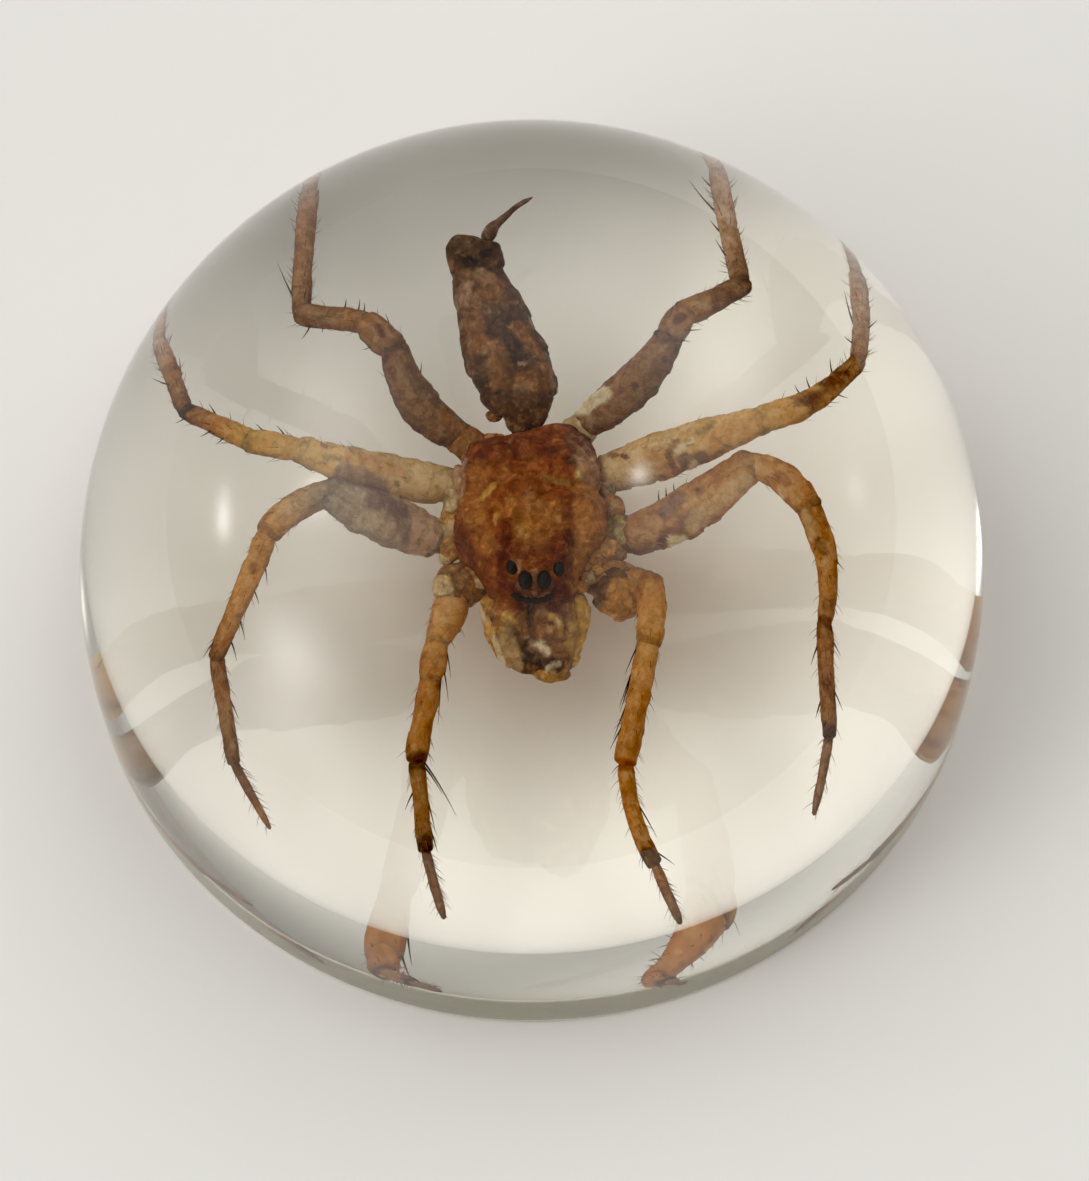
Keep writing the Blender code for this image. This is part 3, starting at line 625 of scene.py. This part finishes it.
def segment_colours(name, k, points, way, facing_for_painted_shade, grain, seed):
    """Colours of a leg segment, with painted shade that darkens its flanks, and darker at its joints."""
    joint = np.minimum(way, 1 - way) * segment_length(name, k)
    seam = 0.24 * (1 - ramp(0.01, 0.07, joint)) + 0.14 * (1 - ramp(0.05, 0.35, joint))
    # Painted shade: the flanks, which face neither up nor down, are darkened as if the light crossed more
    # shell there.
    thickness = 1.27 - 0.42 * facing_for_painted_shade + seam + 0.3 * grain
    colours = mottled(points, worn(leg_colours(name, k, way), thickness), 0.6, 0.12, seed)
    return with_marks(points, colours, LEG_MARKS, seed)


def segment_body(name, k, seed):
    """One leg segment: a closed, slightly crushed and wrinkled tube."""
    length = segment_length(name, k)
    girth = leg_radius(name, k, 0.5)
    way, path, radius = segment_rings(name, k, length, girth)
    points, turn = tube_points(path, radius, radius * LEG_FLATNESS, LEG_SIDES)
    _, _, upward = ring_frames(path)
    outward = points - path[:, None]
    wave = 0.05 * np.sin(2 * turn[None] + seed + 3.0 * way[:, None])
    wave = wave + 0.04 * np.sin(3 * turn[None] + 2.0 * seed - 5.0 * way[:, None])
    grain = leg_grain(way[:, None] * length, turn[None], girth, seed)
    _, tilt, _ = plates(points, 0.45, seed)
    crush = wave + 0.05 * tilt + 0.07 * grain + 0.05 * rough_noise(points, 0.3, 3, seed)
    points = (points + outward * crush[..., None]).reshape(-1, 3)
    # How much the surface faces straight up or down, for the painted shade on a leg's flanks.
    facing_for_painted_shade = np.abs((unit(outward) * upward[:, None]).sum(-1)).reshape(-1)
    along = np.repeat(np.clip(way, 0, 1), LEG_SIDES)
    colours = segment_colours(name, k, points, along, facing_for_painted_shade, grain.reshape(-1), seed)
    return points, tube_faces(len(way), LEG_SIDES), colours


def make_legs(side, material):
    legs = Shell()
    first_seed = 50 if side == "left" else 0
    names = [name for name in LEGS if name.startswith(side)]
    for number, name in enumerate(names):
        for k in range(len(SEGMENTS)):
            legs.add(*segment_body(name, k, first_seed + 10 * number + k))
    legs.piece(side + "_legs", material)


# ---- hairs and spines
def bristle(root, direction, curl, length, radius, rings, sides):
    """A thin tapering hair that bends a little towards curl."""
    way = np.linspace(0, 1, rings)[:, None]
    path = root + (direction * way + curl * 0.25 * way ** 2) * length
    along = unit(np.gradient(path, axis=0))
    across = unit(np.cross(along, [0.31, 0.22, 0.92]))
    second = np.cross(along, across)
    turn = np.arange(sides) * math.tau / sides
    taper = radius * (1 - 0.85 * way ** 1.3)
    around = across[:, None] * np.cos(turn)[:, None] + second[:, None] * np.sin(turn)[:, None]
    points = path[:, None] + around * taper[:, None]
    return points.reshape(-1, 3), tube_faces(rings, sides)


def leg_place(name, k, way):
    """The middle of a leg at a place along segment k, and the directions along, across and up there."""
    path = leg_line(name, k, np.array([way - 0.01, way, way + 0.01]))
    return path[1], *(directions[1] for directions in ring_frames(path))


def leaning(along, outward, lean):
    return along * math.cos(lean) + outward * math.sin(lean)


def leg_bristles(name, hairs, chance):
    for k, kind in enumerate(SEGMENTS):
        for _ in range(int(HAIRS_PER_MM[kind] * segment_length(name, k))):
            way, turn = chance.uniform(0.03, 0.97), chance.uniform(0, math.tau)
            middle, along, across, upward = leg_place(name, k, way)
            outward = across * math.cos(turn) + upward * math.sin(turn)
            direction = leaning(along, outward, math.radians(chance.uniform(*HAIR_LEAN)))
            root = middle + outward * float(leg_radius(name, k, way)) * 0.92
            size = chance.uniform(*HAIR_LENGTH)
            points, faces = bristle(root, direction, along, size, HAIR_RADIUS, 3, 3)
            hairs.add(points, faces, tone(chance.choice(("ink", "umber", "bronze"))))


def leg_spines(name, hairs, chance):
    for k, way, length, lean in SPINES[name]:
        middle, along, across, upward = leg_place(name, k, way)
        outward = unit(-across * math.copysign(1, lean) + upward * 0.25)
        direction = leaning(along, outward, math.radians(abs(lean)))
        root = middle + outward * float(leg_radius(name, k, way)) * 0.85
        points, faces = bristle(root, direction, along, length, SPINE_RADIUS, 7, 6)
        hairs.add(points, faces, tone("ink") * chance.uniform(0.8, 1.3))


def make_hairs(material):
    chance = np.random.default_rng(7)
    hairs = Shell()
    for name in LEGS:
        leg_bristles(name, hairs, chance)
        leg_spines(name, hairs, chance)
    hairs.piece("leg_hairs", material)


# ---- body
def smooth_stations(stations, count):
    """More stations on a smooth curve through the given ones, closer near both ends."""
    given = np.array(stations)
    steps = np.concatenate([[0], np.cumsum(np.linalg.norm(np.diff(given[:, :3], axis=0), axis=1))])
    at = steps[-1] * (0.5 - 0.5 * np.cos(np.linspace(0, math.pi, count)))
    before = 2 * given[0] - given[1]
    after = 2 * given[-1] - given[-2]
    padded = np.vstack([before, given, after])
    cell = np.clip(np.searchsorted(steps, at, side="right") - 1, 0, len(given) - 2)
    f = ((at - steps[cell]) / (steps[cell + 1] - steps[cell]))[:, None]
    p0, p1, p2, p3 = (padded[cell + k] for k in range(4))
    curve = 0.5 * (2 * p1 + (p2 - p0) * f + (2 * p0 - 5 * p1 + 4 * p2 - p3) * f ** 2
                   + (3 * p1 - p0 - 3 * p2 + p3) * f ** 3)
    return curve, at / steps[-1], steps[-1]


def crushed(points, size, seed, lift, depth, width):
    """Tilted plates of about the given size, with creases of that depth and width between them."""
    _, tilt, border = plates(points, size, seed)
    return lift * tilt - depth * (1 - ramp(0.0, width, border))


def carapace_relief(points):
    x, y = points[..., 0], points[..., 1] - 0.35
    reach = np.hypot(x, y)
    angle = np.degrees(np.arctan2(np.abs(x), y))
    grooves = sum(np.exp(-((angle - a) * reach / 14) ** 2) for a in GROOVE_ANGLES)
    grooves = grooves * ramp(0.4, 1.0, reach) * (1 - ramp(2.3, 2.8, reach))
    pit = np.exp(-(x / 0.16) ** 2 - (y / 0.42) ** 2)
    head = (1 - ramp(0.95, 1.35, np.abs(x - 0.12))) * (1 - ramp(-2.2, -1.2, y))
    ridges = 1 - 2 * np.abs(rough_noise(points, 0.9, 3, 23))
    return (crushed(points, 0.62, 31, 0.07, 0.04, 0.16) - 0.14 * grooves - 0.18 * pit + 0.1 * head
            + 0.07 * ridges + 0.05 * rough_noise(points, 0.35, 3, 3))


def abdomen_relief(points):
    lengthened = points * np.array([1.0, 0.8, 1.0])
    return crushed(lengthened, 0.85, 57, 0.085, 0.05, 0.1) + 0.04 * rough_noise(points, 0.4, 3, 9)


def crumpled_relief(points):
    return crushed(points, 0.42, 83, 0.05, 0.03, 0.14) + 0.05 * rough_noise(points, 0.35, 3, 13)


def thread_relief(points):
    return 0.035 * rough_noise(points, 0.3, 2, 17)


def body_colours(points, outward, base, size, depth, seed):
    drift = rough_noise(points, 1.1, 2, seed)
    # Painted shade: sides that face neither up nor down are darker. The drift is a random change of tone.
    thickness = 1.22 - 0.3 * np.abs(outward[:, 2]) + 0.25 * drift
    colours = worn(tone(base), thickness)
    colours = with_marks(points, mottled(points, colours, size, depth, seed), BODY_MARKS, seed)
    pale = 0.55 * ramp(0.25, 0.6, rough_noise(points, 0.26, 3, seed + 41))
    dark = 0.45 * ramp(0.25, 0.6, rough_noise(points, 0.32, 3, seed + 47))
    colours = colours * (1 + np.array([0.9, 0.8, 0.55]) * pale[:, None])
    return np.minimum(colours * (1 - np.array([0.6, 0.75, 0.8]) * dark[:, None]), 1.0)


def ball(centre, radii, rows=16, sides=24):
    lat = np.linspace(-math.pi / 2, math.pi / 2, rows)[1:-1]
    turn = np.arange(sides) * math.tau / sides
    ring = np.stack([np.cos(turn), np.sin(turn)], -1)
    points = [np.array([[0, 0, -1.0]])]
    for a in lat:
        points.append(np.column_stack([ring * math.cos(a), np.full(sides, math.sin(a))]))
    points.append(np.array([[0, 0, 1.0]]))
    points = np.concatenate(points) * np.array(radii) + np.array(centre)
    faces = []
    last = len(points) - 1
    rings = len(lat)
    for k in range(sides):
        n = (k + 1) % sides
        faces.append((0, 1 + n, 1 + k))
        faces.append((last, 1 + (rings - 1) * sides + k, 1 + (rings - 1) * sides + n))
        for r in range(rings - 1):
            low = 1 + r * sides
            faces.append((low + k, low + n, low + sides + n, low + sides + k))
    return points, faces


def add_loft(shell, stations, count, sides, relief, base, size, depth, squareness):
    """Adds a body through stations to a shell, lifted by a relief and mottled in patches."""
    curve, way, length = smooth_stations(stations, count)
    from_end = np.minimum(way, 1 - way) * length / LOFT_ROUNDING
    close = np.sqrt(1 - (1 - np.clip(from_end, 0.01, 1)) ** 2)
    path = curve[:, :3]
    points, _ = tube_points(path, curve[:, 3] * close, curve[:, 4] * close, sides, squareness)
    outward = unit(points - path[:, None])
    points = (points + outward * (relief(points) * close[:, None])[..., None]).reshape(-1, 3)
    colours = body_colours(points, outward.reshape(-1, 3), base, size, depth, seed=count)
    shell.add(points, tube_faces(count, sides), colours)


def make_abdomen(material):
    abdomen = Shell()
    add_loft(abdomen, ABDOMEN, 200, 110, abdomen_relief, "bark", 0.72, 0.3, 2.2)
    add_loft(abdomen, SPINNERET_THREAD, 60, 16, thread_relief, "plum", 0.3, 0.2, 2.0)
    abdomen.piece("spider_abdomen", material)


def make_body(material):
    body = Shell()
    add_loft(body, CARAPACE, 190, 150, carapace_relief, "rust", 0.5, 0.16, 2.5)
    add_loft(body, LEFT_JAW, 80, 56, crumpled_relief, "bronze", 0.3, 0.3, 2.2)
    add_loft(body, RIGHT_JAW, 80, 56, crumpled_relief, "bronze", 0.3, 0.3, 2.2)
    add_loft(body, MOUTH, 80, 60, crumpled_relief, "umber", 0.3, 0.4, 2.2)
    add_loft(body, LEFT_LOBE, 70, 44, crumpled_relief, "honey", 0.25, 0.3, 2.0)
    add_loft(body, RIGHT_LOBE, 70, 44, crumpled_relief, "gold", 0.25, 0.3, 2.0)
    for k, (*centre, radius, base) in enumerate(BULBS):
        points, faces = ball(centre, (radius, radius, radius * 0.95), 48, 72)
        outward = unit(points - np.array(centre))
        points = points + outward * crumpled_relief(points)[:, None]
        colours = mottled(points, np.broadcast_to(tone(base), points.shape), 0.3, 0.35, k)
        body.add(points, faces, with_marks(points, colours, BULB_MARKS, k))
    for k, (x, y, z, width, length, height, base) in enumerate(KNOBS):
        points, faces = ball((x, y, z), (width, length, height), 28, 40)
        outward = unit(points - np.array([x, y, z]))
        lumps = 0.34 * min(width, length, height) * rough_noise(points, 0.3, 3, k)
        points = points + outward * (lumps + 0.6 * crumpled_relief(points))[:, None]
        body.add(points, faces, body_colours(points, outward, base, 0.25, 0.3, k))
    body.piece("spider_body", material)


def make_eyes(material):
    eyes = Shell()
    for x, y, z, radius in EYES:
        points, faces = ball((x, y, z), (radius * 0.92, radius * 1.25, radius))
        eyes.add(points, faces, tone("black"))
    for x, y, z in FRONT_EYES:
        points, faces = ball((x, y, z), (0.17, 0.13 - 0.07 * abs(x - 0.03), 0.13))
        eyes.add(points, faces, tone("black"))
    eyes.piece("spider_eyes", material)


# ---- the clear casting
def dome_profile():
    """Radius and height of each ring of the dome, from its foot to near its crown."""
    profile = [(DOME_RADIUS - EDGE_CHAMFER, 0.0), (DOME_RADIUS, EDGE_CHAMFER)]
    for k in range(RESIN_RINGS):
        turn = math.pi / 2 * k / RESIN_RINGS
        rise = math.sin(turn) ** (2 / DOME_FULLNESS)
        reach = math.cos(turn) ** (2 / DOME_FULLNESS)
        profile.append((DOME_RADIUS * reach, LIP_HEIGHT + (DOME_HEIGHT - LIP_HEIGHT) * rise))
    return profile


def make_resin(material):
    bm = bmesh.new()
    turns = [math.tau * k / RESIN_SECTORS for k in range(RESIN_SECTORS)]
    rings = []
    for radius, height in dome_profile():
        places = [(radius * math.cos(t) * MM, radius * math.sin(t) * MM, height * MM) for t in turns]
        rings.append([bm.verts.new(place) for place in places])
    for low, high in zip(rings, rings[1:]):
        for k in range(RESIN_SECTORS):
            n = (k + 1) % RESIN_SECTORS
            bm.faces.new((low[k], low[n], high[n], high[k])).smooth = True
    bm.faces.new(list(reversed(rings[0])))
    crown = bm.verts.new((0, 0, DOME_HEIGHT * MM))
    for k in range(RESIN_SECTORS):
        bm.faces.new((rings[-1][k], rings[-1][(k + 1) % RESIN_SECTORS], crown)).smooth = True
    mesh = bpy.data.meshes.new("resin_dome")
    bm.to_mesh(mesh)
    bm.free()
    mesh.set_sharp_from_angle(angle=math.radians(SHARP_ANGLE))
    mesh.materials.append(material)
    item = add_object("resin_dome", mesh)
    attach(item, "root")
    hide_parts("resin_dome_base", "resin_dome_upper")


# ---- materials
def new_material(name):
    material = bpy.data.materials.new(name)
    material.use_nodes = True
    tree = material.node_tree
    return material, tree, tree.nodes["Principled BSDF"]


def feed(socket, value):
    """Sets an input of a node, or links it where the value is an output of another node."""
    if isinstance(value, bpy.types.NodeSocket):
        socket.id_data.links.new(value, socket)
    else:
        socket.default_value = value


def preset(node, **inputs):
    """Feeds inputs of a node; an underscore stands for a space in an input's name."""
    for name, value in inputs.items():
        feed(node.inputs[name.replace("_", " ")], value)


def add_node(tree, kind, **inputs):
    node = tree.nodes.new("ShaderNode" + kind)
    preset(node, **inputs)
    return node


def add_maths(tree, kind, operation, *inputs):
    node = tree.nodes.new("ShaderNode" + kind)
    node.operation = operation
    for socket, value in zip(node.inputs, inputs):
        feed(socket, value)
    return node


def maths(tree, operation, first, second=0.0):
    return add_maths(tree, "Math", operation, first, second).outputs[0]


def resin_material():
    material, tree, shader = new_material("clear_resin")
    preset(shader, Base_Color=(1.0, 1.0, 1.0, 1.0), Roughness=0.0, IOR=RESIN_IOR, Transmission_Weight=1.0)
    tint = add_node(tree, "VolumeAbsorption", Color=(*RESIN_TINT, 1.0), Density=RESIN_DENSITY)
    preset(tree.nodes["Material Output"], Volume=tint.outputs[0])
    return material


def place_of(tree):
    """Places in the object's own coordinates."""
    return add_node(tree, "TexCoord").outputs["Object"]


def shifted_place(tree, colour, shift):
    """Places shifted by a colour, by up to the given distance."""
    moved = add_maths(tree, "VectorMath", "MULTIPLY_ADD", colour, (shift, shift, shift), place_of(tree))
    return moved.outputs["Vector"]


def grain_texture(tree, size, detail, distortion=0.0):
    """A noise texture with lumps of about the given size in millimetres."""
    return add_node(tree, "TexNoise", Vector=place_of(tree), Scale=1 / (size * MM), Detail=detail,
                    Distortion=distortion)


def spread(tree, value, low, high):
    """The value of a texture, stretched to run from low to high."""
    span = add_node(tree, "MapRange", Value=value, From_Min=0.3, From_Max=0.7, To_Min=low, To_Max=high)
    return span.outputs["Result"]


def total_of(tree, *values):
    total = values[0]
    for value in values[1:]:
        total = maths(tree, "ADD", total, value)
    return total


def roughen(tree, shader, height, strength, distance):
    """Gives a shader small bumps, at most the given distance high."""
    bump = add_node(tree, "Bump", Height=height, Strength=strength, Distance=distance * MM)
    preset(shader, Normal=bump.outputs["Normal"])


def shell_thickness(tree, thin, thick):
    """Thickness of a shell with patches, flakes, grain and creases, and its heights for small bumps."""
    patches = grain_texture(tree, PATCH_SIZE, 5, 0.8)
    grain = grain_texture(tree, GRAIN_SIZE, 3)
    wander = shifted_place(tree, patches.outputs["Color"], 0.35 * PATCH_SIZE * MM)
    cells = add_node(tree, "TexVoronoi", Vector=wander, Scale=1 / (PATCH_SIZE * MM))
    cells.feature = "DISTANCE_TO_EDGE"
    border = cells.outputs["Distance"]
    crease = add_node(tree, "MapRange", Value=border, From_Max=0.07, To_Min=0.14, To_Max=0.0)
    wander = shifted_place(tree, patches.outputs["Color"], 0.3 * FLAKE_SIZE * MM)
    flakes = add_node(tree, "TexVoronoi", Vector=wander, Scale=1 / (FLAKE_SIZE * MM))
    thickness = total_of(tree, spread(tree, patches.outputs["Fac"], thin, thick),
                         spread(tree, grain.outputs["Fac"], -0.05, 0.05),
                         spread(tree, flakes.outputs["Color"], 0.11, -0.11), crease.outputs["Result"])
    fine = maths(tree, "MULTIPLY", grain.outputs["Fac"], 0.5)
    return thickness, total_of(tree, patches.outputs["Fac"], fine)


def stained_colour(tree, thickness):
    """The painted colour, paled where the shell is thin and evenly darkened where it is thick."""
    painted = add_node(tree, "VertexColor")
    painted.layer_name = "tone"
    thinned = maths(tree, "MINIMUM", maths(tree, "MAXIMUM", thickness, THINNEST), 1.0)
    paled = add_node(tree, "Gamma", Color=painted.outputs["Color"], Gamma=thinned)
    over = maths(tree, "MAXIMUM", maths(tree, "SUBTRACT", thickness, 1.0), 0.0)
    left = maths(tree, "EXPONENT", maths(tree, "MULTIPLY", over, -STAIN_RATE))
    stained = add_maths(tree, "VectorMath", "SCALE", paled.outputs["Color"])
    preset(stained, Scale=left)
    return stained.outputs["Vector"]


def chitin_material(name, glow, roughness, thin, thick):
    """Thin horny shell that lets a share of the light through."""
    material, tree, shader = new_material(name)
    thickness, height = shell_thickness(tree, thin, thick)
    colour = stained_colour(tree, thickness)
    gloss = grain_texture(tree, 0.35, 2).outputs["Fac"]
    preset(shader, Base_Color=colour, Specular_IOR_Level=0.1,
           Roughness=spread(tree, gloss, roughness - 0.15, roughness + 0.15))
    roughen(tree, shader, height, 0.8, 0.035)
    both = add_node(tree, "MixShader", Fac=glow)
    feed(both.inputs[1], shader.outputs[0])
    feed(both.inputs[2], add_node(tree, "BsdfTranslucent", Color=colour).outputs[0])
    preset(tree.nodes["Material Output"], Surface=both.outputs[0])
    return material


def eye_material():
    material, tree, shader = new_material("eye_lens")
    gloss = grain_texture(tree, 0.3, 2).outputs["Fac"]
    preset(shader, Base_Color=(*EYE_COLOUR, 1.0), Specular_IOR_Level=0.15,
           Roughness=spread(tree, gloss, 0.1, 0.25))
    return material


def paper_material():
    material, tree, shader = new_material("white_paper")
    preset(shader, Base_Color=(*PAPER_COLOUR, 1.0), Roughness=0.9, Specular_IOR_Level=0.1)
    roughen(tree, shader, grain_texture(tree, 0.8, 4).outputs["Fac"], 0.15, 0.05)
    return material


# ---- camera, floor and light
def make_camera():
    data = bpy.data.cameras.new("photo_view")
    data.sensor_fit = "HORIZONTAL"
    data.sensor_width = VIEW_FRAME
    data.lens = VIEW_FOCAL
    data.clip_start = 0.005
    camera = add_object("photo_view", data)
    tilt = math.radians(VIEW_ELEVATION)
    toward = Vector((0.0, -math.cos(tilt), math.sin(tilt)))
    camera.location = (Vector(AIM_POINT) + toward * VIEW_DISTANCE) * MM
    camera.rotation_euler = (math.radians(90) - tilt, 0.0, 0.0)
    bpy.context.scene.camera = camera


def make_floor():
    bpy.ops.mesh.primitive_plane_add(size=PAPER_SIZE * MM, location=(0, 0, -PAPER_DEPTH * MM))
    floor = bpy.context.object
    floor.name = "paper"
    floor.data.materials.append(paper_material())


def sky_direction(azimuth, elevation):
    a, e = math.radians(azimuth), math.radians(elevation)
    return Vector((math.cos(a) * math.cos(e), math.sin(a) * math.cos(e), math.sin(e)))


def make_sky():
    """A dim room with a few soft bright windows."""
    world = bpy.data.worlds.new("soft_room")
    bpy.context.scene.world = world
    world.use_nodes = True
    tree = world.node_tree
    view = add_node(tree, "TexCoord").outputs["Generated"]
    total = ROOM_LIGHT
    for azimuth, elevation, narrowness, strength in WINDOWS:
        toward = add_maths(tree, "VectorMath", "DOT_PRODUCT", view, sky_direction(azimuth, elevation))
        facing = maths(tree, "MAXIMUM", toward.outputs["Value"], 0.0)
        light = maths(tree, "POWER", facing, narrowness)
        total = maths(tree, "ADD", maths(tree, "MULTIPLY", light, strength), total)
    preset(tree.nodes["Background"], Color=(*WINDOW_TINT, 1.0), Strength=total)


def set_view():
    """Sets the picture's tones, and keeps the clear dome's reflections sharp and many."""
    scene = bpy.context.scene
    view = scene.view_settings
    view.view_transform = "Standard"
    view.use_curve_mapping = True
    view.curve_mapping.black_level = (BLACK_LEVEL, BLACK_LEVEL, BLACK_LEVEL)
    view.curve_mapping.update()
    scene.cycles.blur_glossy = 0.0
    scene.cycles.glossy_bounces = 12


make_camera()
make_floor()
make_sky()
make_resin(resin_material())
leg_material = chitin_material("leg_chitin", *LEG_SHELL)
make_legs("left", leg_material)
make_legs("right", leg_material)
body_material = chitin_material("body_chitin", *BODY_SHELL)
make_body(body_material)
make_abdomen(body_material)
make_hairs(chitin_material("hair_chitin", *HAIR_SHELL))
make_eyes(eye_material())
set_view()
